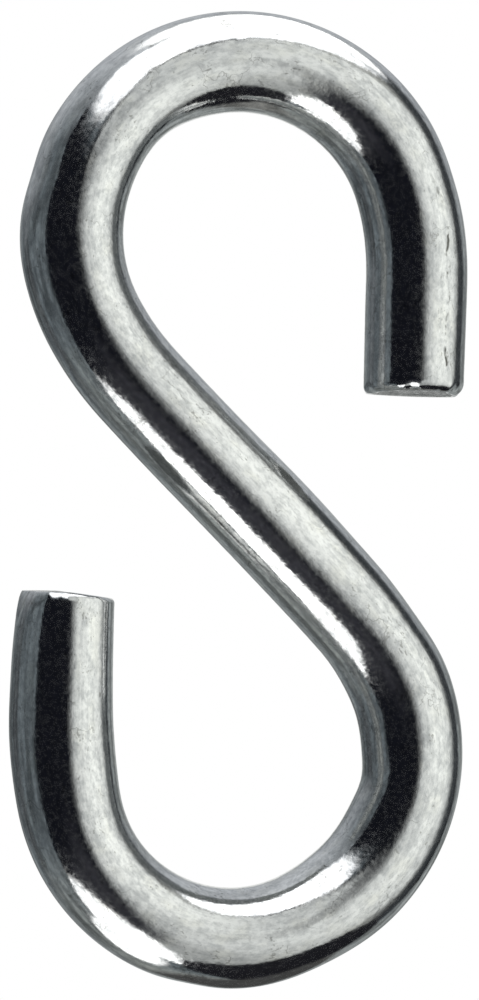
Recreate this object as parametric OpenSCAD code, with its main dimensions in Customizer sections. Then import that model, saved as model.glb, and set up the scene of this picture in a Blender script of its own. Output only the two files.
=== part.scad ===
// Safety chain S-hook: one length of round steel bar, cropped at both ends and bent cold into an S.
// Sizes are in millimetres and +Z is up. The S lies in the XZ plane and its front faces -Y.
// The origin is the bearing point inside the upper bow, from which the hook hangs.

/* [Bar] */
// Diameter of the round bar
bar_d = 9.5; // [8:0.1:11]
// Length of the straight slanting shank between the bows
shank_length = 30.9; // [27:0.1:35]
// Lean of the shank from upright, in degrees
shank_lean = 44.3; // [41:0.1:48]
// Diameter that the bar loses at each step into a tighter bend, where cold bending draws it down
bend_draw = 0.06; // [0.04:0.01:0.12]

/* [Upper bow] */
// Centre-line radius of the bend next to the shank
upper_shank_r = 26.6; // [22:0.1:32]
// Turn of the bend next to the shank, in degrees
upper_shank_turn = 16.6; // [10:0.1:24]
// Centre-line radius over the crown
upper_crown_r = 16.6; // [15:0.1:19.5]
// Turn over the crown, in degrees
upper_crown_turn = 190.7; // [182:0.1:199]
// Centre-line radius of the bend next to the tip
upper_tip_r = 27; // [21:0.1:34]
// Turn of the bend next to the tip, in degrees
upper_tip_turn = 19; // [10:0.1:27]
// Straight length of the tip, up to its cropped end
upper_tip_length = 9; // [6:0.1:12]

/* [Lower bow] */
// Centre-line radius of the bend next to the shank
lower_shank_r = 17.6; // [16:0.1:21]
// Turn of the bend next to the shank, in degrees
lower_shank_turn = 126; // [117:0.1:133]
// Centre-line radius over the crown
lower_crown_r = 16.3; // [14.5:0.1:19]
// Turn over the crown, in degrees
lower_crown_turn = 89.2; // [82:0.1:96]
// Centre-line radius of the bend next to the tip
lower_tip_r = 45.7; // [36:0.1:56]
// Turn of the bend next to the tip, in degrees
lower_tip_turn = 10.7; // [4:0.1:18]
// Straight length of the tip, up to its cropped end
lower_tip_length = 8.6; // [6:0.1:11]

/* [Cropped ends] */
// Lean that the shear gives each end face, in degrees from square
crop_lean = 5; // [1:0.5:8]
// Radius of the edge that the shear rolls over
rolled_edge = 0.9; // [0.4:0.1:1.6]
// Way that the upper end leans, in degrees from the inside of its bow towards the front
upper_crop_way = 90; // [0:5:180]
// Way that the lower end leans, in degrees from the inside of its bow towards the front
lower_crop_way = 45; // [0:5:180]

/* [Hidden] */
$fn = 96;
// The bends next to the shank and the tips are drawn down by one step, the tighter crowns by two.
side_steps = 1;
crown_steps = 2;
// Length by which each drawn-down stretch is rooted in its thicker neighbours.
root = 0.2;
// The shear leans an end over within about a bar's width, so that bend has the bar's width as radius.
crop_bend_r = bar_d;

// Diameter of the bar after a number of draw-down steps.
function drawn_d(steps) = bar_d - steps * bend_draw;
// Way along a stretch of bar that leans by an angle to the right of upright, and the way to its right.
function along(lean) = [sin(lean), 0, cos(lean)];
function aside(lean) = [cos(lean), 0, -sin(lean)];

// Places in the upper bow, measured from the middle of the shank.
upper_crown_lean = upper_shank_turn - shank_lean;
upper_shank_end = along(-shank_lean) * shank_length / 2;
upper_shank_centre = upper_shank_end + aside(-shank_lean) * upper_shank_r;
upper_crown_centre = upper_shank_centre + aside(upper_crown_lean) * (upper_crown_r - upper_shank_r);
bearing_point = upper_crown_centre + [0, 0, upper_crown_r - drawn_d(crown_steps) / 2];

// A straight run of bar along +Z. The children go on from its end.
module run(length) {
    cylinder(d = bar_d, h = length);
    translate([0, 0, length])
        children();
}

// A bend from +Z towards +X, rooted in the bar at both its ends. The children go on from its end.
module bend(radius, turn, steps) {
    root_turn = root / radius * 180 / PI;
    translate([radius, 0, 0]) {
        rotate([90, 0, 0])
            rotate_extrude(start = 180 - turn - root_turn, angle = turn + 2 * root_turn)
                translate([radius, 0])
                    circle(d = drawn_d(steps));
        rotate([0, turn, 0])
            translate([-radius, 0, 0])
                children();
    }
}

// The last of the bar, rooted in the bend below it: an end face whose whole edge is rolled over.
module rolled_end(d) {
    flat_r = d / 2 - rolled_edge;
    rotate_extrude() {
        translate([0, -root])
            square([d / 2, root]);
        square([flat_r, rolled_edge]);
        translate([flat_r, 0])
            intersection() {
                circle(r = rolled_edge);
                square(rolled_edge);
            }
    }
}

// An end that the shear has leaned over. The way is the angle from the bow's inside towards the front.
module cropped_end(way) {
    rotate([0, 0, -way])
        bend(crop_bend_r, crop_lean, side_steps)
            rolled_end(drawn_d(crown_steps));
}

// A bow, from its end of the shank to its cropped end.
module bow(shank_r, shank_turn, crown_r, crown_turn, tip_r, tip_turn, tip_length, crop_way) {
    bend(shank_r, shank_turn, side_steps)
        bend(crown_r, crown_turn, crown_steps)
            bend(tip_r, tip_turn, side_steps)
                run(tip_length)
                    cropped_end(crop_way);
}

// The whole hook: one bar, with a bow at each end of its shank.
module s_hook() {
    color("silver")
        translate(-bearing_point)
            rotate([0, -shank_lean, 0]) {
                cylinder(d = bar_d, h = shank_length, center = true);
                translate([0, 0, shank_length / 2])
                    bow(upper_shank_r, upper_shank_turn, upper_crown_r, upper_crown_turn,
                        upper_tip_r, upper_tip_turn, upper_tip_length, upper_crop_way);
                rotate([0, 180, 0])
                    translate([0, 0, shank_length / 2])
                        bow(lower_shank_r, lower_shank_turn, lower_crown_r, lower_crown_turn,
                            lower_tip_r, lower_tip_turn, lower_tip_length, lower_crop_way);
            }
}

s_hook();
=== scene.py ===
"""Bright zinc plated safety chain S-hook: one bent bar, its finish, and the studio that it is shown in."""
import logging
import math
from collections.abc import Callable
from dataclasses import dataclass, field
from enum import Enum

import bmesh
import bpy
import numpy as np
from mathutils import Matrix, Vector, noise


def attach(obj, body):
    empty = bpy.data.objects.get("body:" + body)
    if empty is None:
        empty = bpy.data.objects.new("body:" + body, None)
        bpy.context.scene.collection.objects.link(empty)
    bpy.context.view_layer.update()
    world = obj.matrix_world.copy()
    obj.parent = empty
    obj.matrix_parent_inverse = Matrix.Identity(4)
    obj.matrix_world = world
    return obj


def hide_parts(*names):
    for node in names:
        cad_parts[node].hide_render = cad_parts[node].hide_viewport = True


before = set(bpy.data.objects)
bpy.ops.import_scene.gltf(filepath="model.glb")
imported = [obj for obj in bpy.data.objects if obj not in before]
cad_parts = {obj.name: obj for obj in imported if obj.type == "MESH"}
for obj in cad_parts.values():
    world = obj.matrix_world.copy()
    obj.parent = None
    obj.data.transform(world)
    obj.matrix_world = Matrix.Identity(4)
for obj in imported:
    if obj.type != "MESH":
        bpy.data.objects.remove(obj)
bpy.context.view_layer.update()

LOG = logging.getLogger("s_hook_scene")
MM = 0.001
BODY = "root"
NODE = "s_hook"
BAR_ATTRIBUTE = "straight_bar"
# Spreads after which a bell curve counts as ended.
BELL_REACH = 3
# Mean level of a noise texture.
NOISE_MIDDLE = 0.5

Colour = tuple[float, float, float]
Point = tuple[float, float, float]
Span = tuple[float, float]
Socket = bpy.types.NodeSocket
Given = dict[str, Socket]
Settings = dict[str, object]


class Skin(Enum):
    """Surfaces of the bar that carry a finish of their own, as material indices of its mesh."""

    FLANK = 0
    CROP = 1


class Side(Enum):
    """Sides of the bar in the plane of the S, on a walk towards the upper tip."""

    RIGHT = 1.0
    LEFT = -1.0


class Effect(Enum):
    """Surface effects that both finishes share, each a shader node group."""

    DIE_LINES = "die_lines"
    MOTTLE = "mottle"
    FLECKS = "flecks"
    CRACKS = "cracks"
    SCUFFS = "scuffs"
    SEAM = "seam"


def bell(x: np.ndarray, spread: float) -> np.ndarray:
    """Bell curve of height 1 around 0, with the given spread."""
    return np.exp(-0.5 * (x / spread) ** 2)


@dataclass(frozen=True)
class Bow:
    """One bow of the hook, walked from its end of the shank to its cropped end.

    Radii and lengths are in millimetres, and turns in degrees.
    """

    shank_r: float
    shank_turn: float
    crown_r: float
    crown_turn: float
    tip_r: float
    tip_turn: float
    tip_length: float

    def stretches(self) -> list[tuple[float, float]]:
        """Lists the bow's stretches of bar.

        Returns:
            The length of each stretch and its curvature towards the bow's inside.
        """
        bends = (
            (self.shank_r, self.shank_turn),
            (self.crown_r, self.crown_turn),
            (self.tip_r, self.tip_turn),
        )
        curved = [(radius * math.radians(turn), 1.0 / radius) for radius, turn in bends]
        return [*curved, (self.tip_length, 0.0)]

    def length(self) -> float:
        """Length of bar in the bow."""
        return sum(length for length, _ in self.stretches())


@dataclass(frozen=True)
class BendMark:
    """A place where bending swelled one side of the bar, or pressed it flat, in millimetres.

    It lies at a length along the bar from the middle of the shank towards the upper tip.
    """

    along: float
    side: Side
    height: float
    spread: float

    def lift(self, along: np.ndarray, way: np.ndarray) -> np.ndarray:
        """Finds how far the mark lifts the bar's surface.

        Args:
            along: Lengths from the middle of the shank, one a ring.
            way: Angles round the bar, one a side.

        Returns:
            The lift, by ring and side.
        """
        facing = np.clip(self.side.value * np.cos(way), 0.0, 1.0) ** 2
        return self.height * bell(along - self.along, self.spread)[:, None] * facing[None, :]


@dataclass(frozen=True)
class CroppedEnd:
    """How the shear left one end of the bar, in millimetres and degrees round the bar.

    Angles round the bar are measured from the right of a walk towards the upper tip, over the front.
    The ragged edge is a sum of waves, each with its count round the bar and its start in radians.
    """

    lean: float
    lean_way: float
    edge_r: float
    roll_depth: float
    roll_length: float
    roll_way: float
    roll_spread: float
    face_dish: float
    raggedness: float = 0.11
    ragged_waves: tuple[tuple[int, float], ...] = ((5, 1.0), (11, 0.0), (17, 0.0))

    def edge(self, way: np.ndarray) -> tuple[np.ndarray, np.ndarray]:
        """Finds the size of the edge that the shear rolled over.

        Args:
            way: Angles round the bar.

        Returns:
            How far the edge reaches along the bar, and how far in over the face.
        """
        turn = np.angle(np.exp(1j * (way - math.radians(self.roll_way))))
        rolled = bell(turn, math.radians(self.roll_spread))
        waves = sum(np.sin(count * way + start) for count, start in self.ragged_waves)
        ragged = 1.0 + self.raggedness * waves
        length = (self.edge_r + (self.roll_length - self.edge_r) * rolled) * ragged
        return length, self.edge_r * ragged + self.roll_depth * rolled


@dataclass
class SHook:
    """The hook: one round bar, cropped at both ends and bent cold into an S. Sizes are in millimetres.

    The marks are where the bar isn't true round after bending. A crop's lean fades out along the bar
    over the bar's diameter by lean_fade.
    """

    bar_d: float = 9.5
    bearing_d: float = 9.38
    shank_length: float = 30.9
    shank_lean: float = 44.3
    upper: Bow = Bow(
        shank_r=26.6,
        shank_turn=16.6,
        crown_r=16.6,
        crown_turn=190.7,
        tip_r=27.0,
        tip_turn=19.0,
        tip_length=10.75,
    )
    lower: Bow = Bow(
        shank_r=17.6,
        shank_turn=126.0,
        crown_r=16.3,
        crown_turn=89.2,
        tip_r=45.7,
        tip_turn=10.7,
        tip_length=10.5,
    )
    upper_end: CroppedEnd = CroppedEnd(
        lean=5.0,
        lean_way=90.0,
        edge_r=0.8,
        roll_depth=0.25,
        roll_length=1.3,
        roll_way=150.0,
        roll_spread=50.0,
        face_dish=0.12,
    )
    lower_end: CroppedEnd = CroppedEnd(
        lean=6.6,
        lean_way=176.0,
        edge_r=0.45,
        roll_depth=0.95,
        roll_length=3.2,
        roll_way=12.0,
        roll_spread=38.0,
        face_dish=0.1,
    )
    marks: tuple[BendMark, ...] = (
        BendMark(-98.4, Side.RIGHT, -0.5, 3.0),
        BendMark(-85.0, Side.RIGHT, 0.1, 3.0),
        BendMark(-82.0, Side.LEFT, 0.25, 5.0),
        BendMark(-60.0, Side.RIGHT, -0.15, 1.5),
        BendMark(-49.0, Side.RIGHT, -0.27, 3.0),
        BendMark(-46.0, Side.LEFT, 0.16, 3.5),
        BendMark(-33.0, Side.RIGHT, 0.25, 6.0),
        BendMark(-32.7, Side.LEFT, -0.34, 2.0),
        BendMark(-20.0, Side.LEFT, 0.25, 3.5),
        BendMark(-18.0, Side.RIGHT, -0.38, 2.3),
        BendMark(-3.0, Side.RIGHT, 0.26, 5.0),
        BendMark(10.0, Side.LEFT, 0.1, 5.0),
        BendMark(30.5, Side.LEFT, 0.16, 2.5),
        BendMark(35.8, Side.LEFT, -0.2, 1.5),
        BendMark(45.5, Side.RIGHT, -0.42, 4.0),
        BendMark(67.0, Side.RIGHT, 0.1, 6.0),
        BendMark(78.0, Side.LEFT, -0.12, 2.0),
        BendMark(88.0, Side.RIGHT, 0.17, 6.0),
    )
    lean_fade: float = 3.0
    ring_step: float = 0.28
    sides: int = 96
    edge_rings: int = 24
    face_rings: int = 10
    bend_easing: float = 0.8
    walk_step: float = 0.02
    wave_height: float = 0.02
    wave_length: float = 9.0
    pieces: list[bpy.types.Object] = field(default_factory=list)

    def half_walk(self, bow: Bow) -> tuple[np.ndarray, np.ndarray, np.ndarray]:
        """Walks the bar from the middle of the shank to one end, with its bends eased into each other.

        Args:
            bow: The bow at that end.

        Returns:
            Length walked, lean to the right of the shank's way, and place beside and along that way.
        """
        runs = [(self.shank_length / 2, 0.0), *bow.stretches()]
        total = sum(length for length, _ in runs)
        walked = np.arange(0.0, total + self.walk_step / 2, self.walk_step)
        ends = np.cumsum([length for length, _ in runs])
        which = np.minimum(np.searchsorted(ends, walked), len(runs) - 1)
        curve = np.array([curvature for _, curvature in runs])[which]
        reach = int(BELL_REACH * self.bend_easing / self.walk_step)
        weights = bell(np.arange(-reach, reach + 1) * self.walk_step, self.bend_easing)
        padded = np.pad(curve, reach, mode="edge")
        curve = np.convolve(padded, weights / weights.sum(), mode="valid")
        lean = np.concatenate([[0.0], np.cumsum((curve[1:] + curve[:-1]) / 2 * self.walk_step)])
        ways = np.stack([np.sin(lean), np.cos(lean)], axis=1)
        steps = np.cumsum((ways[1:] + ways[:-1]) / 2, axis=0) * self.walk_step
        return walked, lean, np.concatenate([np.zeros((1, 2)), steps])

    def centre_line(self, along: np.ndarray) -> tuple[np.ndarray, np.ndarray]:
        """Finds the bar's centre line, with the middle of the shank as its start.

        Args:
            along: Lengths from the middle of the shank, towards the upper tip.

        Returns:
            Places in the hook's plane, and the lean of the bar from upright there, in radians.
        """
        places = np.zeros((len(along), 2))
        leans = np.zeros(len(along))
        start = math.radians(-self.shank_lean)
        turn = np.array([[math.cos(start), math.sin(start)], [-math.sin(start), math.cos(start)]])
        for bow, sign in ((self.upper, 1.0), (self.lower, -1.0)):
            walked, lean, beside = self.half_walk(bow)
            chosen = along * sign >= 0
            reach = along[chosen] * sign
            leans[chosen] = start + np.interp(reach, walked, lean)
            local = np.stack([np.interp(reach, walked, beside[:, i]) for i in (0, 1)], axis=1)
            places[chosen] = sign * local @ turn.T
        return places, leans

    def bearing_point(self) -> np.ndarray:
        """Finds the frame's origin, the top of the upper bow's inside.

        Returns:
            Its place in the hook's plane, from the middle of the shank.
        """
        way = math.radians(-self.shank_lean)
        bend_end = math.radians(self.upper.shank_turn - self.shank_lean)
        shank = self.shank_length / 2 * np.array([math.sin(way), math.cos(way)])
        shank_centre = shank + self.upper.shank_r * np.array([math.cos(way), -math.sin(way)])
        crown_offset = self.upper.crown_r - self.upper.shank_r
        crown_centre = shank_centre + crown_offset * np.array([math.cos(bend_end), -math.sin(bend_end)])
        return crown_centre + np.array([0.0, self.upper.crown_r - self.bearing_d / 2])

    def bar_radius(self, along: np.ndarray, way: np.ndarray) -> np.ndarray:
        """Finds the bar's radius, with its bend marks and very slightly wavy.

        Args:
            along: Lengths from the middle of the shank, one a ring.
            way: Angles round the bar, one a side.

        Returns:
            The radius, by ring and side.
        """
        true_r = self.bar_d / 2
        radius = np.full((len(along), len(way)), true_r)
        for mark in self.marks:
            radius += mark.lift(along, way)
        for ring, distance in enumerate(along):
            for side, angle in enumerate(way):
                spot = Vector((distance, true_r * math.cos(angle), true_r * math.sin(angle)))
                radius[ring, side] += self.wave_height * noise.noise(spot / self.wave_length)
        return radius

    def edge_room(self) -> float:
        """Length of bar that is kept for the rolled edge at each end."""
        return max(self.lower_end.roll_length, self.upper_end.roll_length, self.upper_end.edge_r)

    def build(self) -> bpy.types.Object:
        """Makes the bar's mesh: rings along the flank, rolled edges and cropped faces.

        Returns:
            The hook's object.
        """
        upper_at = self.shank_length / 2 + self.upper.length()
        lower_at = -self.shank_length / 2 - self.lower.length()
        ends = ((self.lower_end, lower_at, -1.0), (self.upper_end, upper_at, 1.0))
        count = round((upper_at - lower_at) / self.ring_step)
        along = np.linspace(lower_at, upper_at, count + 1)
        way = np.arange(self.sides) * 2 * math.pi / self.sides
        radius = self.bar_radius(along, way)
        first, last = (self.end_rings(end, at, sign, along, radius, way) for end, at, sign in ends)
        inner = (along > lower_at + self.edge_room()) & (along < upper_at - self.edge_room())
        flank = [(np.full(self.sides, here), ring) for here, ring in zip(along[inner], radius[inner])]
        rings = [*reversed(first), *flank, *last]
        distances = np.array([distance for distance, _ in rings])
        radii = np.array([ring for _, ring in rings])
        for end, at, sign in ends:
            share = bell((at - distances) * sign, self.bar_d / self.lean_fade)
            toward = radii * np.cos(way - math.radians(end.lean_way))[None, :]
            distances = distances - sign * share * math.tan(math.radians(end.lean)) * toward
        hook = bpy.data.objects.new("s_hook_bar", self.mesh_of(distances, radii, way))
        bpy.context.scene.collection.objects.link(hook)
        self.pieces.append(hook)
        return hook

    def end_rings(
        self,
        end: CroppedEnd,
        at: float,
        sign: float,
        along: np.ndarray,
        radius: np.ndarray,
        way: np.ndarray,
    ) -> list[tuple[np.ndarray, np.ndarray]]:
        """Makes the rings of one rolled edge and cropped face, from the flank to the middle of the face.

        Args:
            end: The end's shape.
            at: Length along the bar at the end.
            sign: 1 at the upper end and -1 at the lower.
            along: Lengths along the bar of the flank's rings.
            radius: The flank's radius, by ring and side.
            way: Angles round the bar.

        Returns:
            Lengths along the bar and radii, ring by ring.
        """
        rings = []
        length, depth = end.edge(way)
        for step in range(self.edge_rings + 1):
            # The rings crowd towards the end, where the edge is roundest.
            inside = self.edge_room() * (1 - step / self.edge_rings) ** 2
            reach = np.clip(1 - inside / length, 0.0, 1.0)
            distance = at - sign * inside
            flank = np.array([np.interp(distance, along, radius[:, side]) for side in range(len(way))])
            rings.append((np.full(len(way), distance), flank - depth * (1 - np.sqrt(1 - reach**2))))
        rim = rings[-1][1]
        for step in range(1, self.face_rings + 1):
            # The last ring leaves a small middle, which one fan of faces closes.
            share = 1 - step / (self.face_rings + 0.5)
            dish = end.face_dish * (1 - share**2)
            rings.append((np.full(len(way), at - sign * dish), rim * share))
        return rings

    def mesh_of(self, distances: np.ndarray, radii: np.ndarray, way: np.ndarray) -> bpy.types.Mesh:
        """Bends the straight bar onto its centre line and skins it.

        Args:
            distances: Lengths along the straight bar, by ring and side.
            radii: Radii, by ring and side.
            way: Angles round the bar.

        Returns:
            The mesh, with the straight bar's coordinates as an attribute.
        """
        total, sides = distances.shape
        places, leans = self.centre_line(distances.ravel())
        across = (radii * np.cos(way)).ravel()
        front = (radii * np.sin(way)).ravel()
        origin = self.bearing_point()
        x = places[:, 0] + across * np.cos(leans) - origin[0]
        z = places[:, 1] - across * np.sin(leans) - origin[1]
        points = np.stack([x, -front, z], axis=1) * MM
        straight = np.stack([distances.ravel(), across, front], axis=1) * MM
        vertices = [*map(tuple, points)]
        middles = []
        for ring in (0, total - 1):
            rim = slice(ring * sides, (ring + 1) * sides)
            middles.append(len(vertices))
            vertices.append(tuple(points[rim].mean(axis=0)))
            straight = np.vstack([straight, straight[rim].mean(axis=0)])
        faces, skins = [], []
        for ring in range(total - 1):
            is_crop = ring < self.face_rings or ring >= total - 1 - self.face_rings
            for side in range(sides):
                after = (side + 1) % sides
                low, high = ring * sides, (ring + 1) * sides
                faces.append((low + side, low + after, high + after, high + side))
                skins.append(Skin.CROP.value if is_crop else Skin.FLANK.value)
        for side in range(sides):
            after = (side + 1) % sides
            last = (total - 1) * sides
            faces.append((after, side, middles[0]))
            faces.append((last + side, last + after, middles[1]))
            skins.extend([Skin.CROP.value] * 2)
        mesh = bpy.data.meshes.new("s_hook_bar")
        mesh.from_pydata(vertices, [], faces)
        mesh.polygons.foreach_set("material_index", skins)
        mesh.polygons.foreach_set("use_smooth", [True] * len(faces))
        attribute = mesh.attributes.new(BAR_ATTRIBUTE, "FLOAT_VECTOR", "POINT")
        attribute.data.foreach_set("vector", straight.astype(np.float32).ravel())
        shape = bmesh.new()
        shape.from_mesh(mesh)
        bmesh.ops.recalc_face_normals(shape, faces=shape.faces)
        shape.to_mesh(mesh)
        shape.free()
        mesh.update()
        return mesh

    def dress(self, flank: "PlatedBar", crop: "PlatedBar") -> None:
        """Gives the flank and the cropped faces their finishes, in the order of Skin.

        Args:
            flank: Finish of the bar's flank.
            crop: Finish of the cropped faces.
        """
        for piece in self.pieces:
            for finish in (flank, crop):
                piece.data.materials.append(finish.material())

    def seat(self) -> None:
        """Ties the bar to the frame."""
        for piece in self.pieces:
            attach(piece, BODY)
            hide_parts(NODE)


class Weave:
    """A node tree being built: adds nodes, sets their values and links them."""

    def __init__(self, tree: bpy.types.NodeTree) -> None:
        """Starts on an emptied tree."""
        self.tree = tree
        tree.nodes.clear()

    @classmethod
    def for_material(cls, name: str) -> tuple[bpy.types.Material, "Weave"]:
        """Starts a new material.

        Args:
            name: The material's name.

        Returns:
            The material, and its emptied tree.
        """
        material = bpy.data.materials.new(name)
        material.use_nodes = True
        return material, cls(material.node_tree)

    def add(self, kind: str, settings: Settings | None = None, **inputs: object) -> bpy.types.Node:
        """Adds a node.

        Args:
            kind: Type name of the node.
            settings: Properties of the node.
            **inputs: Values or output sockets for its inputs, by name with _ for a space.

        Returns:
            The node.
        """
        node = self.tree.nodes.new(kind)
        for name, value in (settings or {}).items():
            setattr(node, name, value)
        for name, value in inputs.items():
            self.feed(node.inputs[name.replace("_", " ")], value)
        return node

    def feed(self, socket: Socket, value: object) -> None:
        """Links a socket to an output, or sets its value.

        Args:
            socket: An input of a node.
            value: The output or the value.
        """
        if isinstance(value, Socket):
            self.tree.links.new(value, socket)
        else:
            socket.default_value = value

    def add_in_order(self, kind: str, settings: Settings, *values: object) -> Socket:
        """Adds a node whose inputs are fed in their order.

        Args:
            kind: Type name of the node.
            settings: Properties of the node.
            *values: Values or output sockets.

        Returns:
            Its first output.
        """
        node = self.add(kind, settings)
        for socket, value in zip(node.inputs, values):
            self.feed(socket, value)
        return node.outputs[0]

    def math(self, operation: str, *values: object, clamp: bool = False) -> Socket:
        """Adds a Math node, whose result is kept between 0 and 1 with clamp."""
        return self.add_in_order("ShaderNodeMath", {"operation": operation, "use_clamp": clamp}, *values)

    def vector(self, operation: str, *values: object) -> Socket:
        """Adds a Vector Math node that gives a vector."""
        return self.add_in_order("ShaderNodeVectorMath", {"operation": operation}, *values)

    def blend(self, share: Socket, below: bpy.types.Node, above: bpy.types.Node) -> Socket:
        """Adds a Mix Shader node, with the share of the shader above."""
        return self.add_in_order("ShaderNodeMixShader", {}, share, below.outputs[0], above.outputs[0])

    def parts(self, vector: Socket) -> tuple[Socket, ...]:
        """Adds a Separate XYZ node."""
        return tuple(self.add("ShaderNodeSeparateXYZ", Vector=vector).outputs)

    def noise(self, place: Socket, scale: object, detail: float, roughness: float = 0.5) -> Socket:
        """Adds a Noise Texture node.

        Args:
            place: Where it is read.
            scale: Cells a metre.
            detail: Finer layers on it.
            roughness: How strong the finer layers are.

        Returns:
            Its level.
        """
        inputs = {"Vector": place, "Scale": scale, "Detail": detail, "Roughness": roughness}
        return self.add("ShaderNodeTexNoise", **inputs).outputs[0]

    def ramp(
        self,
        value: Socket,
        low: object,
        high: object,
        to_low: float = 0.0,
        to_high: float = 1.0,
    ) -> Socket:
        """Adds a smooth Map Range node.

        Args:
            value: What is mapped.
            low: Value that gives to_low.
            high: Value that gives to_high.
            to_low: Result at low.
            to_high: Result at high.

        Returns:
            Its result.
        """
        settings = {"interpolation_type": "SMOOTHSTEP"}
        return self.add_in_order("ShaderNodeMapRange", settings, value, low, high, to_low, to_high)

    def mix(self, share: Socket, below: Socket | Colour, above: Socket | Colour) -> Socket:
        """Adds a colour Mix node.

        Args:
            share: How much of above shows.
            below: Colour or output at share 0.
            above: Colour or output at share 1.

        Returns:
            The mixed colour.
        """
        # A Mix node lists its sockets for every kind of data, and those for colour aren't the first.
        node = self.add("ShaderNodeMix", {"data_type": "RGBA"})
        self.feed(node.inputs[0], share)
        for socket, colour in ((node.inputs[6], below), (node.inputs[7], above)):
            self.feed(socket, colour if isinstance(colour, Socket) else (*colour, 1.0))
        return node.outputs[2]


@dataclass
class EffectKit:
    """The shared surface effects, each a node group that is built once.

    Bends, pieces, clusters and patches are counted by the metre, and lengths are in metres.
    """

    fleck_clusters: float = 450.0
    cluster_top: float = 1.2
    cluster_gain: float = 1.45
    fleck_softness: float = 0.2
    crack_bends: float = 700.0
    crack_shift: float = 0.0025
    crack_pieces: float = 350.0
    crack_softness: float = 0.06
    line_core: float = 0.3
    scuff_squeeze: Point = (0.12, 1.0, 0.5)
    scuff_levels: Span = (0.64, 0.74)
    scuff_patches: float = 170.0
    scuff_softness: float = 0.08
    seam_bends: float = 260.0
    seam_pieces: float = 1000.0
    seam_levels: Span = (0.44, 0.6)
    seam_fade: float = 0.006
    front_fade: float = 0.001
    groups: dict[Effect, bpy.types.NodeTree] = field(default_factory=dict)

    def __post_init__(self) -> None:
        """Builds every effect's group."""
        self.build(Effect.DIE_LINES, self.die_lines, Width=0.0004, Stretch=20.0)
        self.build(Effect.MOTTLE, self.mottle, Size=0.001, Stretch=1.7, Low=0.3, High=0.7)
        self.build(Effect.FLECKS, self.flecks, Size=0.0003, Stretch=1.6, Cover=0.62)
        self.build(Effect.CRACKS, self.cracks, Spacing=0.0035, Width=0.00005, Cover=0.56)
        self.build(Effect.SCUFFS, self.scuffs, Width=0.0003, Slant=0.6, Cover=0.55)
        self.build(Effect.SEAM, self.seam, Across=0.0, Start=0.0, Width=0.0001, Wander=0.001)

    def build(self, effect: Effect, make: Callable[[Weave, Given], Socket], **numbers: float) -> None:
        """Builds one effect's group, with a place on the straight bar and named numbers as its inputs.

        Args:
            effect: The effect.
            make: The method that weaves it.
            **numbers: Names and defaults of its numbers.
        """
        tree = bpy.data.node_groups.new(effect.value, "ShaderNodeTree")
        tree.interface.new_socket("Place", in_out="INPUT", socket_type="NodeSocketVector")
        for name, default in numbers.items():
            socket = tree.interface.new_socket(name, in_out="INPUT", socket_type="NodeSocketFloat")
            socket.default_value = default
        tree.interface.new_socket("Amount", in_out="OUTPUT", socket_type="NodeSocketFloat")
        weave = Weave(tree)
        given = {socket.name: socket for socket in weave.add("NodeGroupInput").outputs}
        weave.add("NodeGroupOutput", Amount=make(weave, given))
        self.groups[effect] = tree

    @staticmethod
    def drawn_noise(weave: Weave, given: Given, size: str, **layers: float) -> Socket:
        """Weaves a noise that is drawn out along the bar by the group's Stretch.

        Args:
            weave: The group's tree.
            given: The group's inputs.
            size: Name of the input that gives the size of its cells.
            **layers: Detail and roughness of the noise.

        Returns:
            Its level.
        """
        shrink = weave.math("DIVIDE", 1.0, given["Stretch"])
        squeeze = weave.add("ShaderNodeCombineXYZ", X=shrink, Y=1.0, Z=1.0)
        place = weave.vector("MULTIPLY", given["Place"], squeeze.outputs[0])
        return weave.noise(place, weave.math("DIVIDE", 1.0, given[size]), **layers)

    def die_lines(self, weave: Weave, given: Given) -> Socket:
        """Fine lines along the bar, left by the drawing die."""
        return self.drawn_noise(weave, given, "Width", detail=3.0, roughness=0.6)

    def mottle(self, weave: Weave, given: Given) -> Socket:
        """Soft patches in the plate, from fine grain to clouds."""
        patches = self.drawn_noise(weave, given, "Size", detail=2.5)
        return weave.ramp(patches, given["Low"], given["High"])

    def flecks(self, weave: Weave, given: Given) -> Socket:
        """Weaves small dark flecks in clusters, drawn out along the bar.

        Args:
            weave: The group's tree.
            given: The group's inputs.

        Returns:
            The flecks, 1 where they are darkest.
        """
        specks = self.drawn_noise(weave, given, "Size", detail=1.0)
        clusters = weave.noise(given["Place"], self.fleck_clusters, detail=2.0)
        edge = weave.math("SUBTRACT", self.cluster_top, clusters)
        edge = weave.math("MULTIPLY", edge, given["Cover"])
        edge = weave.math("MULTIPLY", edge, self.cluster_gain)
        return weave.ramp(specks, edge, weave.math("ADD", edge, self.fleck_softness))

    def cracks(self, weave: Weave, given: Given) -> Socket:
        """Weaves hair cracks in the plate, in short crooked pieces.

        Args:
            weave: The group's tree.
            given: The group's inputs.

        Returns:
            The cracks, 1 where they are open.
        """
        bends = weave.add("ShaderNodeTexNoise", Vector=given["Place"], Scale=self.crack_bends, Detail=3.0)
        shift = weave.vector("MULTIPLY", bends.outputs["Color"], (self.crack_shift,) * 3)
        place = weave.vector("ADD", given["Place"], shift)
        scale = weave.math("DIVIDE", 1.0, given["Spacing"])
        nearest_edge = {"feature": "DISTANCE_TO_EDGE"}
        cells = weave.add("ShaderNodeTexVoronoi", nearest_edge, Vector=place, Scale=scale)
        width = weave.math("DIVIDE", given["Width"], given["Spacing"])
        core = weave.math("MULTIPLY", width, self.line_core)
        lines = weave.ramp(cells.outputs["Distance"], width, core)
        pieces = weave.noise(given["Place"], self.crack_pieces, detail=2.0)
        edge = weave.math("ADD", given["Cover"], self.crack_softness)
        return weave.math("MULTIPLY", lines, weave.ramp(pieces, given["Cover"], edge))

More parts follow.
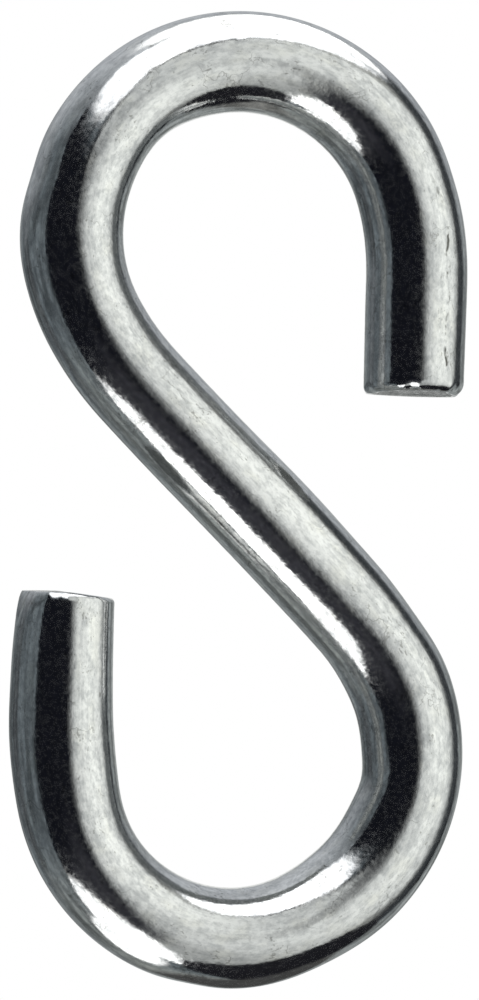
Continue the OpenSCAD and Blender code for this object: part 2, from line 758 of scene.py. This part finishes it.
    def scuffs(self, weave: Weave, given: Given) -> Socket:
        """Weaves short handling scratches, slanting across the bar in patches.

        Args:
            weave: The group's tree.
            given: The group's inputs.

        Returns:
            The scratches, 1 where they are deepest.
        """
        about_z = {"rotation_type": "Z_AXIS"}
        turned = weave.add("ShaderNodeVectorRotate", about_z, Vector=given["Place"], Angle=given["Slant"])
        thin = weave.vector("MULTIPLY", turned.outputs[0], self.scuff_squeeze)
        strokes = weave.noise(thin, weave.math("DIVIDE", 1.0, given["Width"]), detail=2.0)
        marks = weave.ramp(strokes, *self.scuff_levels)
        patches = weave.noise(given["Place"], self.scuff_patches, detail=2.0)
        edge = weave.math("ADD", given["Cover"], self.scuff_softness)
        return weave.math("MULTIPLY", marks, weave.ramp(patches, given["Cover"], edge))

    def seam(self, weave: Weave, given: Given) -> Socket:
        """Weaves a crooked open seam along the front of the upper tip, in pieces.

        Args:
            weave: The group's tree.
            given: The group's inputs.

        Returns:
            The seam, 1 where it is open.
        """
        along, across, front = weave.parts(given["Place"])
        bends = weave.noise(given["Place"], self.seam_bends, detail=3.0)
        bend = weave.math("SUBTRACT", bends, NOISE_MIDDLE)
        middle = weave.math("MULTIPLY_ADD", bend, given["Wander"], given["Across"])
        beside = weave.math("ABSOLUTE", weave.math("SUBTRACT", across, middle))
        core = weave.math("MULTIPLY", given["Width"], self.line_core)
        seam = weave.ramp(beside, given["Width"], core)
        pieces = weave.noise(given["Place"], self.seam_pieces, detail=2.0)
        past = weave.math("SUBTRACT", along, given["Start"])
        limits = (
            weave.ramp(pieces, *self.seam_levels),
            weave.ramp(past, 0.0, self.seam_fade),
            weave.ramp(front, 0.0, self.front_fade),
        )
        for limit in limits:
            seam = weave.math("MULTIPLY", seam, limit)
        return seam


@dataclass(frozen=True)
class PlatedBar:
    """Bright zinc plate over drawn steel bar. Lengths are in metres.

    Levels are the two levels of a noise between which its patches fade in. Use has rubbed the plate
    bright at the middle of the shank and one rub_spacing to each side of it, on the crowns.
    """

    name: str
    kit: EffectKit
    bright: Colour = (0.97, 0.98, 0.965)
    dull: Colour = (0.52, 0.535, 0.54)
    stain: Colour = (0.93, 0.925, 0.84)
    stain_size: float = 0.0016
    stain_levels: Span = (0.48, 0.7)
    stain_share: float = 0.4
    smooth: float = 0.05
    hazy: float = 0.13
    line_width: float = 0.00032
    line_stretch: float = 30.0
    line_depth: float = 0.0000025
    streak_levels: Span = (0.35, 0.7)
    streak_share: float = 0.2
    cloud_size: float = 0.0011
    cloud_levels: Span = (0.38, 0.62)
    cloud_share: float = 0.25
    patch_size: float = 0.00045
    patch_levels: Span = (0.36, 0.64)
    patch_share: float = 0.36
    patch_depth: float = 0.0000022
    grain_size: float = 0.00022
    grain_levels: Span = (0.3, 0.7)
    grain_share: float = 0.26
    grain_depth: float = 0.0000006
    speck_size: float = 0.0004
    speck_levels: Span = (0.35, 0.75)
    speck_stretch: float = 1.0
    speck_haze: float = 0.09
    speck_film: float = 0.012
    ripple_size: float = 0.0014
    ripple_depth: float = 0.000015
    fleck_colour: Colour = (0.3, 0.3, 0.285)
    fleck_size: float = 0.00022
    fleck_cover: float = 0.68
    crack_width: float = 0.00006
    crack_cover: float = 0.54
    crack_share: float = 0.75
    damage_share: float = 0.7
    scuff_cover: float = 0.56
    scuff_haze: float = 0.12
    seam_colour: Colour = (0.13, 0.13, 0.12)
    seam_across: float = -0.0016
    seam_start: float = 0.076
    seam_width: float = 0.00018
    seam_wander: float = 0.0022
    rub_spacing: float = 0.055
    rub_reach: Span = (0.015, 0.005)
    rub_share: float = 0.27

    def place_effect(self, weave: Weave, effect: Effect, place: Socket, **values: float) -> Socket:
        """Places a shared effect in a material.

        Args:
            weave: The material's tree.
            effect: The effect.
            place: Place on the straight bar.
            **values: Numbers for the group's inputs.

        Returns:
            The effect's output.
        """
        node = weave.add("ShaderNodeGroup", {"node_tree": self.kit.groups[effect]}, Place=place, **values)
        return node.outputs[0]

    def mottle(self, weave: Weave, place: Socket, size: float, levels: Span, **values: float) -> Socket:
        """Places the mottle effect at one size, between two levels of its noise."""
        low, high = levels
        return self.place_effect(weave, Effect.MOTTLE, place, Size=size, Low=low, High=high, **values)

    def relief(self, weave: Weave, heights: tuple[tuple[Socket, float], ...]) -> Socket:
        """Stacks bumps on each other.

        Args:
            weave: The material's tree.
            heights: Height maps and their depths in metres, negative for hollows.

        Returns:
            The bumped normal.
        """
        normal: Socket | None = None
        for height, depth in heights:
            hollow = {"invert": depth < 0}
            bump = weave.add("ShaderNodeBump", hollow, Height=height, Strength=1.0, Distance=abs(depth))
            if normal is not None:
                weave.feed(bump.inputs["Normal"], normal)
            normal = bump.outputs[0]
        return normal

    def dullness(self, weave: Weave, place: Socket, layers: tuple[tuple[Socket, float], ...]) -> Socket:
        """Adds up what dulls the plate, and takes off what use has rubbed bright.

        Args:
            weave: The material's tree.
            place: Place on the straight bar.
            layers: What dulls the plate, and the share of each.

        Returns:
            The dullness, from 0 to 1.
        """
        total: object = 0.0
        for layer, share in layers:
            total = weave.math("MULTIPLY_ADD", layer, share, total)
        along, _, _ = weave.parts(place)
        from_rub = weave.math("PINGPONG", along, self.rub_spacing / 2)
        rubbed = weave.ramp(from_rub, *self.rub_reach, 0.0, self.rub_share)
        return weave.math("SUBTRACT", weave.math("MINIMUM", total, 1.0), rubbed, clamp=True)

    def damage(self, weave: Weave, place: Socket, flecks: Socket, plate: Socket) -> Socket:
        """Darkens the plate where it is pitted, cracked or open.

        Args:
            weave: The material's tree.
            place: Place on the straight bar.
            flecks: The pits.
            plate: The plate's colour.

        Returns:
            The colour with its damage.
        """
        crack_numbers = {"Width": self.crack_width, "Cover": self.crack_cover}
        cracks = self.place_effect(weave, Effect.CRACKS, place, **crack_numbers)
        seam_numbers = {
            "Across": self.seam_across,
            "Start": self.seam_start,
            "Width": self.seam_width,
            "Wander": self.seam_wander,
        }
        seam = self.place_effect(weave, Effect.SEAM, place, **seam_numbers)
        marks = weave.math("MAXIMUM", flecks, weave.math("MULTIPLY", cracks, self.crack_share))
        colour = weave.mix(weave.math("MULTIPLY", marks, self.damage_share), plate, self.fleck_colour)
        return weave.mix(seam, colour, self.seam_colour)

    def material(self) -> bpy.types.Material:
        """Makes the finish's material.

        Returns:
            The material.
        """
        material, weave = Weave.for_material(self.name)
        on_mesh = {"attribute_name": BAR_ATTRIBUTE, "attribute_type": "GEOMETRY"}
        place = weave.add("ShaderNodeAttribute", on_mesh).outputs["Vector"]
        line_numbers = {"Width": self.line_width, "Stretch": self.line_stretch}
        lines = self.place_effect(weave, Effect.DIE_LINES, place, **line_numbers)
        clouds = self.mottle(weave, place, self.cloud_size, self.cloud_levels)
        patches = self.mottle(weave, place, self.patch_size, self.patch_levels)
        grain = self.mottle(weave, place, self.grain_size, self.grain_levels)
        specks = self.mottle(weave, place, self.speck_size, self.speck_levels, Stretch=self.speck_stretch)
        stains = self.mottle(weave, place, self.stain_size, self.stain_levels)
        fleck_numbers = {"Size": self.fleck_size, "Cover": self.fleck_cover}
        flecks = self.place_effect(weave, Effect.FLECKS, place, **fleck_numbers)
        scuffs = self.place_effect(weave, Effect.SCUFFS, place, Cover=self.scuff_cover)
        ripple = weave.noise(place, 1 / self.ripple_size, detail=1.5)
        layers = (
            (clouds, self.cloud_share),
            (patches, self.patch_share),
            (grain, self.grain_share),
            (weave.ramp(lines, *self.streak_levels), self.streak_share),
        )
        dullness = self.dullness(weave, place, layers)
        clear = weave.mix(weave.math("MULTIPLY", stains, self.stain_share), self.bright, self.stain)
        plate = weave.mix(dullness, clear, self.dull)
        rough = weave.ramp(dullness, 0.0, 1.0, self.smooth, self.hazy)
        rough = weave.math("MULTIPLY_ADD", specks, self.speck_haze, rough)
        rough = weave.math("MULTIPLY_ADD", scuffs, self.scuff_haze, rough)
        heights = (
            (ripple, self.ripple_depth),
            (lines, self.line_depth),
            (patches, self.patch_depth),
            (grain, self.grain_depth),
            (flecks, -self.grain_depth),
        )
        shader = weave.add(
            "ShaderNodeBsdfPrincipled",
            Base_Color=self.damage(weave, place, flecks, plate),
            Metallic=weave.math("SUBTRACT", 1.0, weave.math("MULTIPLY", specks, self.speck_film)),
            Roughness=rough,
            Normal=self.relief(weave, heights),
        )
        weave.add("ShaderNodeOutputMaterial", Surface=shader.outputs[0])
        return material


@dataclass(frozen=True)
class Disc:
    """A round part of the light tent, by where it is seen from the hook, in degrees.

    Azimuth runs from the camera's side towards the right, and elevation upwards.
    """

    colour: Colour
    azimuth: float
    elevation: float
    half_width: float
    half_height: float
    softness: float = 0.12
    squareness: float = 2.0

    def mask(self, weave: Weave, azimuth: Socket, elevation: Socket) -> Socket:
        """Makes the mask of the disc.

        Args:
            weave: The tent's tree.
            azimuth: Azimuth from the tent's middle, in degrees.
            elevation: Elevation from the tent's middle, in degrees.

        Returns:
            The mask, 1 on the disc.
        """
        beside = weave.math("WRAP", weave.math("SUBTRACT", azimuth, self.azimuth), 180.0, -180.0)
        above = weave.math("SUBTRACT", elevation, self.elevation)
        total: object = 0.0
        for offset, half in ((beside, self.half_width), (above, self.half_height)):
            share = weave.math("DIVIDE", weave.math("ABSOLUTE", offset), half)
            total = weave.math("ADD", total, weave.math("POWER", share, self.squareness))
        reach = weave.math("POWER", total, 1.0 / self.squareness)
        return weave.ramp(reach, 1.0 + self.softness, 1.0 - self.softness)


@dataclass(frozen=True)
class Corner:
    """A corner of a card in the light tent, in degrees, with the softness of the edge that leaves it."""

    azimuth: float
    elevation: float
    softness: float = 1.5


@dataclass(frozen=True)
class Card:
    """A straight-edged part of the light tent, by its corners, clockwise."""

    colour: Colour
    corners: tuple[Corner, ...]

    def mask(self, weave: Weave, azimuth: Socket, elevation: Socket) -> Socket:
        """Makes the mask of the card.

        Args:
            weave: The tent's tree.
            azimuth: Azimuth from the tent's middle, in degrees.
            elevation: Elevation from the tent's middle, in degrees.

        Returns:
            The mask, 1 on the card.
        """
        covered: Socket | None = None
        for here, after in zip(self.corners, (*self.corners[1:], self.corners[0])):
            beside, above = after.azimuth - here.azimuth, after.elevation - here.elevation
            size = math.hypot(beside, above)
            inward = (above / size, -beside / size)
            offset = -(here.azimuth * inward[0] + here.elevation * inward[1])
            depth = weave.math("MULTIPLY_ADD", azimuth, inward[0], offset)
            depth = weave.math("MULTIPLY_ADD", elevation, inward[1], depth)
            edge = weave.ramp(depth, -here.softness, here.softness)
            covered = edge if covered is None else weave.math("MULTIPLY", covered, edge)
        return covered


@dataclass(frozen=True)
class Sheet:
    """A small glowing sheet close to one bow, in metres.

    It has half its width as its radius, half its size from front to back as its depth, and its middle as
    its place.
    """

    name: str
    radius: float
    depth: float
    place: Point
    light: float


@dataclass
class Studio:
    """Camera, light tent, hung sheets, lamp, pale floor and white surroundings. Lengths are in metres.

    Where parts of the tent overlap, the later one covers the earlier. Clutter mottles the walls only.
    Light that has glanced off the bar once already meets a plainer tent, of the glance colours.
    """

    pixel: float = 0.09425 * MM
    frame_width: int = 479
    frame_height: int = 1000
    middle_shank_x: float = 250.39
    middle_shank_y: float = 503.17
    camera_distance: float = 0.427
    camera_turn: float = 15.0
    camera_clip: Span = (0.01, 20.0)
    sensor: float = 36.0
    surround_light: float = 0.55
    floor_drop: float = 0.72
    floor_r: float = 3.0
    floor_fade: float = 0.4
    floor_sides: int = 96
    floor_colour: Colour = (0.9, 0.9, 0.9)
    lamp_size: float = 0.5
    lamp_energy: float = 18.0
    lamp_offset: Point = (-0.3, -0.2, 1.2)
    tent_r: float = 0.6
    tent_rounds: int = 4
    tent_grey: Colour = (0.1, 0.116, 0.127)
    walls: tuple[Disc, ...] = (
        Disc((0.085, 0.093, 0.1), -118.0, -15.0, 10.0, 34.0, 0.6, 3.0),
        Disc((0.22, 0.235, 0.23), -151.0, -57.0, 80.0, 18.0, 0.95),
        Disc((0.26, 0.275, 0.275), 167.0, -8.0, 39.0, 40.0, 0.8, 4.0),
        Disc((0.15, 0.15, 0.145), 172.0, -58.0, 30.0, 18.0, 0.4),
    )
    clutter_size: float = 0.22
    clutter_levels: Span = (0.3, 0.7)
    clutter_dark: float = 0.55
    clutter_light: float = 1.6
    patches: tuple[Disc | Card, ...] = (
        # The upper back, a dimmer part of it, the ceiling, the skylight and a pale band behind.
        Disc((0.45, 0.47, 0.5), 180.0, 50.0, 70.0, 34.0, 0.5, 4.0),
        Disc((0.28, 0.295, 0.315), 165.0, 60.0, 34.0, 16.0, 0.6),
        Disc((0.55, 0.57, 0.6), -118.0, 90.0, 124.0, 32.0, 0.95, 3.0),
        Disc((1.6, 1.6, 1.65), 0.0, 90.0, 400.0, 7.0, 0.3),
        Disc((0.8, 0.81, 0.8), 180.0, 2.0, 12.0, 15.0, 0.35, 4.0),
        # The white card overhead.
        Card(
            (1.6, 1.61, 1.65),
            (
                Corner(-62.0, 58.0, 8.0),
                Corner(-72.0, 74.0, 5.0),
                Corner(-74.0, 90.0),
                Corner(120.0, 90.0, 3.0),
                Corner(112.0, 53.0, 8.0),
                Corner(86.0, 40.0),
                Corner(2.0, 28.0, 4.0),
            ),
        ),
        # The black frame of the diffuser on the right.
        Card(
            (0.009, 0.0095, 0.012),
            (
                Corner(3.0, -6.0, 4.0),
                Corner(4.0, 40.0, 3.0),
                Corner(14.0, 48.5, 3.0),
                Corner(30.0, 51.5, 2.0),
                Corner(90.0, 46.0, 1.0),
                Corner(119.0, 39.0, 1.5),
                Corner(132.0, -30.0, 3.0),
                Corner(110.0, -50.0),
                Corner(14.0, -46.0),
            ),
        ),
        # The diffuser, with its dim foot and its bright middle.
        Card(
            (0.57, 0.585, 0.58),
            (
                Corner(7.0, 10.0, 4.0),
                Corner(6.0, 38.0, 1.0),
                Corner(16.0, 45.5, 1.0),
                Corner(40.0, 49.5, 1.0),
                Corner(80.0, 41.0, 1.2),
                Corner(96.0, 33.0, 2.0),
                Corner(112.0, -18.0, 9.0),
                Corner(97.0, -36.0, 4.0),
                Corner(62.0, -48.0, 2.5),
                Corner(16.0, -52.0, 4.0),
            ),
        ),
        Disc((0.36, 0.37, 0.365), 28.0, -55.0, 50.0, 22.0, 0.95),
        Disc((1.04, 1.06, 1.02), 68.0, 5.0, 27.0, 36.0, 0.95, 2.5),
        # The dark post at the diffuser's far side.
        Card(
            (0.045, 0.05, 0.055),
            (
                Corner(107.0, -45.0, 12.0),
                Corner(98.0, 40.0, 3.0),
                Corner(130.0, 42.0, 7.0),
                Corner(122.0, -45.0, 9.0),
            ),
        ),
        # The black cloth below the diffuser.
        Card(
            (0.012, 0.012, 0.015),
            (
                Corner(8.0, -54.0, 1.2),
                Corner(60.0, -49.0, 3.0),
                Corner(109.0, -29.0, 6.0),
                Corner(150.0, -52.0, 9.0),
                Corner(160.0, -90.0, 3.0),
                Corner(6.0, -90.0),
            ),
        ),
        # The black card round the camera, with two faint glows low on it.
        Card(
            (0.0066, 0.0072, 0.0108),
            (
                Corner(-57.0, -44.0, 1.0),
                Corner(-57.0, 51.0, 3.0),
                Corner(0.0, 23.0, 9.0),
                Corner(26.0, 6.0, 12.0),
                Corner(25.0, -12.0, 5.0),
                Corner(8.0, -42.0, 3.0),
                Corner(2.0, -46.0),
            ),
        ),
        Disc((0.042, 0.042, 0.049), -12.0, -38.0, 22.0, 8.0, 0.9),
        Disc((0.034, 0.034, 0.041), 2.0, -26.0, 13.0, 9.0, 0.9),
        # The white card below the camera.
        Card(
            (1.6, 1.6, 1.6),
            (
                Corner(-63.0, -53.0, 1.0),
                Corner(-56.0, -41.0, 2.0),
                Corner(3.0, -43.0, 4.0),
                Corner(12.0, -60.0, 2.5),
                Corner(8.0, -80.0),
                Corner(-53.0, -73.0),
                Corner(-61.0, -60.0),
            ),
        ),
    )
    sheets: tuple[Sheet, ...] = (
        Sheet("overhead_sheet", 0.03, 0.0095, (0.01, 0.003, 0.024), 1.6),
        # The dim shade_sheet below the lower bow is painted shade: its reflection darkens the bottom rim
        # of that bow.
        Sheet("shade_sheet", 0.018, 0.014, (0.007, 0.013, -0.097), 0.06),
        Sheet("under_sheet", 0.015, 0.015, (-0.025, -0.002, -0.11), 1.5),
    )
    sheet_fade: float = 0.75
    sheet_sides: int = 64
    glance_colour: Colour = (0.19, 0.2, 0.205)
    glance_share: float = 0.8
    glance_low: Colour = (0.9, 0.9, 0.9)
    glance_fall: Span = (-35.0, -50.0)

    def centre(self, hook: SHook) -> Vector:
        """Finds the point at the middle of the picture, as far off as the middle of the shank.

        Args:
            hook: The hook.

        Returns:
            The point, in metres.
        """
        origin = hook.bearing_point() * MM
        beside = (self.frame_width / 2 - self.middle_shank_x) * self.pixel
        above = (self.middle_shank_y - self.frame_height / 2) * self.pixel
        rightward = Vector((math.cos(self.turn()), -math.sin(self.turn()), 0.0))
        return Vector((-origin[0], 0.0, above - origin[1])) + beside * rightward

    def turn(self) -> float:
        """Angle in radians that the camera stands to the left of the hook's front."""
        return math.radians(self.camera_turn)

    def place_camera(self, centre: Vector) -> None:
        """Sets a long-lens camera in front of the hook, a little to its left.

        Args:
            centre: Middle of the picture.
        """
        data = bpy.data.cameras.new("camera")
        data.sensor_width = self.sensor
        data.lens = self.sensor * self.camera_distance / (self.frame_height * self.pixel)
        data.clip_start, data.clip_end = self.camera_clip
        camera = bpy.data.objects.new("camera", data)
        forward = Vector((math.sin(self.turn()), math.cos(self.turn()), 0.0))
        camera.location = centre - self.camera_distance * forward
        camera.rotation_euler = (math.pi / 2, 0.0, -self.turn())
        bpy.context.scene.collection.objects.link(camera)
        bpy.context.scene.camera = camera

    def surround(self) -> None:
        """Makes the surroundings white to see and evenly pale to light the floor."""
        world = bpy.data.worlds.new("white_surround")
        world.use_nodes = True
        bpy.context.scene.world = world
        weave = Weave(world.node_tree)
        path = weave.add("ShaderNodeLightPath")
        seen = weave.math("MAXIMUM", path.outputs["Is Camera Ray"], path.outputs["Is Glossy Ray"])
        seen = weave.math("MAXIMUM", seen, path.outputs["Is Transmission Ray"])
        white = (1.0, 1.0, 1.0, 1.0)
        light = weave.add("ShaderNodeBackground", Color=white, Strength=self.surround_light)
        backdrop = weave.add("ShaderNodeBackground", Color=white, Strength=1.0)
        weave.add("ShaderNodeOutputWorld", Surface=weave.blend(seen, light, backdrop))

    @staticmethod
    def stand(name: str, shape: bmesh.types.BMesh) -> bpy.types.Object:
        """Stands a thing of the studio in the scene.

        Args:
            name: The thing's name.
            shape: Its shape, which is used up.

        Returns:
            The thing.
        """
        mesh = bpy.data.meshes.new(name)
        shape.to_mesh(mesh)
        shape.free()
        thing = bpy.data.objects.new(name, mesh)
        bpy.context.scene.collection.objects.link(thing)
        return thing

    def round_sheet(self, name: str, radius: float, sides: int) -> bpy.types.Object:
        """Stands a flat round sheet in the scene.

        Args:
            name: The sheet's name.
            radius: Half its width.
            sides: Sides of its rim.

        Returns:
            The sheet.
        """
        shape = bmesh.new()
        bmesh.ops.create_circle(shape, cap_ends=True, segments=sides, radius=radius)
        return self.stand(name, shape)

    @staticmethod
    def leave_to_gloss(thing: bpy.types.Object) -> None:
        """Hides a thing from all but reflections.

        Args:
            thing: The thing.
        """
        thing.visible_camera = False
        thing.visible_diffuse = False
        thing.visible_shadow = False

    @staticmethod
    def fade_out(weave: Weave, radius: float, fade: float, shader: bpy.types.Node) -> None:
        """Ends a round sheet's material in a shader that fades out towards its rim.

        Args:
            weave: The material's tree.
            radius: Half the sheet's width.
            fade: Share of the radius at which the fading starts.
            shader: The shader.
        """
        where = weave.add("ShaderNodeTexCoord").outputs["Object"]
        far = weave.add("ShaderNodeVectorMath", {"operation": "LENGTH"}, Vector=where)
        cover = weave.ramp(far.outputs["Value"], radius, radius * fade)
        faded = weave.blend(cover, weave.add("ShaderNodeBsdfTransparent"), shader)
        weave.add("ShaderNodeOutputMaterial", Surface=faded)

    def pitch_tent(self, centre: Vector) -> None:
        """Stands a light tent round the hook, which only its polished surface sees.

        Args:
            centre: Middle of the tent.
        """
        shape = bmesh.new()
        bmesh.ops.create_icosphere(shape, subdivisions=self.tent_rounds, radius=self.tent_r)
        tent = self.stand("light_tent", shape)
        tent.location = centre
        tent.rotation_euler = (0.0, 0.0, -self.turn())
        self.leave_to_gloss(tent)
        tent.data.materials.append(self.tent_cloth())

    def tent_cloth(self) -> bpy.types.Material:
        """Makes the tent's cloth, which glows by the walls and patches that are seen on it.

        Returns:
            The material.
        """
        material, weave = Weave.for_material("tent_cloth")
        where = weave.add("ShaderNodeTexCoord").outputs["Object"]
        way = weave.vector("NORMALIZE", where)
        rightward, backward, upward = weave.parts(way)
        azimuth = weave.math("ARCTAN2", rightward, weave.math("MULTIPLY", backward, -1.0))
        azimuth = weave.math("DEGREES", azimuth)
        elevation = weave.math("DEGREES", weave.math("ARCSINE", upward))
        colour: Socket | Colour = self.tent_grey
        for wall in self.walls:
            colour = weave.mix(wall.mask(weave, azimuth, elevation), colour, wall.colour)
        clutter = weave.noise(way, 1 / self.clutter_size, detail=3.0)
        shade = weave.ramp(clutter, *self.clutter_levels, self.clutter_dark, self.clutter_light)
        cluttered = weave.add("ShaderNodeVectorMath", {"operation": "SCALE"}, Vector=colour, Scale=shade)
        colour = cluttered.outputs[0]
        for patch in self.patches:
            colour = weave.mix(patch.mask(weave, azimuth, elevation), colour, patch.colour)
        path = weave.add("ShaderNodeLightPath")
        glanced = weave.ramp(path.outputs["Ray Depth"], 1.0, 2.0, 0.0, self.glance_share)
        low_side = weave.ramp(elevation, *self.glance_fall)
        second = weave.mix(low_side, self.glance_colour, self.glance_low)
        glow = weave.add("ShaderNodeEmission", Color=weave.mix(glanced, colour, second), Strength=1.0)
        weave.add("ShaderNodeOutputMaterial", Surface=glow.outputs[0])
        return material

    def hang_sheet(self, sheet: Sheet) -> None:
        """Hangs a small glowing sheet close to one bow, which only its polished surface sees.

        Args:
            sheet: The sheet.
        """
        hung = self.round_sheet(sheet.name, sheet.radius, self.sheet_sides)
        hung.location = sheet.place
        hung.scale = (1.0, sheet.depth / sheet.radius, 1.0)
        self.leave_to_gloss(hung)
        material, weave = Weave.for_material(f"{sheet.name}_cloth")
        glow = weave.add("ShaderNodeEmission", Color=(1.0, 1.0, 1.0, 1.0), Strength=sheet.light)
        self.fade_out(weave, sheet.radius, self.sheet_fade, glow)
        hung.data.materials.append(material)

    def lay_floor(self, centre: Vector) -> None:
        """Lays a pale round floor below the hook, which fades out into the white.

        Args:
            centre: Middle of the picture.
        """
        floor = self.round_sheet("floor", self.floor_r, self.floor_sides)
        floor.location = centre - Vector((0.0, 0.0, self.floor_drop))
        material, weave = Weave.for_material("pale_floor")
        pale = weave.add("ShaderNodeBsdfDiffuse", Color=(*self.floor_colour, 1.0))
        self.fade_out(weave, self.floor_r, self.floor_fade, pale)
        floor.data.materials.append(material)

    def hang_lamp(self, centre: Vector) -> None:
        """Hangs one soft lamp overhead, for the hook's shadow on the floor.

        Args:
            centre: Middle of the picture, which the lamp faces.
        """
        data = bpy.data.lights.new("overhead_lamp", "AREA")
        data.shape = "DISK"
        data.size = self.lamp_size
        data.energy = self.lamp_energy
        lamp = bpy.data.objects.new("overhead_lamp", data)
        lamp.location = centre + Vector(self.lamp_offset)
        lamp.rotation_euler = (centre - lamp.location).to_track_quat("-Z", "Y").to_euler()
        lamp.visible_glossy = False
        bpy.context.scene.collection.objects.link(lamp)

    def set_up(self, hook: SHook) -> None:
        """Sets the whole studio up round the hook.

        Args:
            hook: The hook.
        """
        bpy.context.scene.view_settings.view_transform = "Standard"
        centre = self.centre(hook)
        self.place_camera(centre)
        self.surround()
        self.pitch_tent(centre)
        for sheet in self.sheets:
            self.hang_sheet(sheet)
        self.lay_floor(centre)
        self.hang_lamp(centre)


def main() -> None:
    """Builds the hook, dresses it and sets up the studio."""
    logging.basicConfig(level=logging.INFO, format="%(message)s")
    kit = EffectKit()
    hook = SHook()
    bar = hook.build()
    LOG.info("%s: %d faces", bar.name, len(bar.data.polygons))
    crop = PlatedBar(
        "zinc_cropped_face",
        kit,
        bright=(0.36, 0.37, 0.36),
        dull=(0.19, 0.2, 0.195),
        stain=(0.3, 0.3, 0.27),
        smooth=0.2,
        hazy=0.4,
        line_depth=0.00001,
    )
    hook.dress(PlatedBar("zinc_flank", kit), crop)
    hook.seat()
    studio = Studio()
    studio.set_up(hook)
    LOG.info("studio: %d patches of light tent", len(studio.patches))


if __name__ == "__main__":
    main()
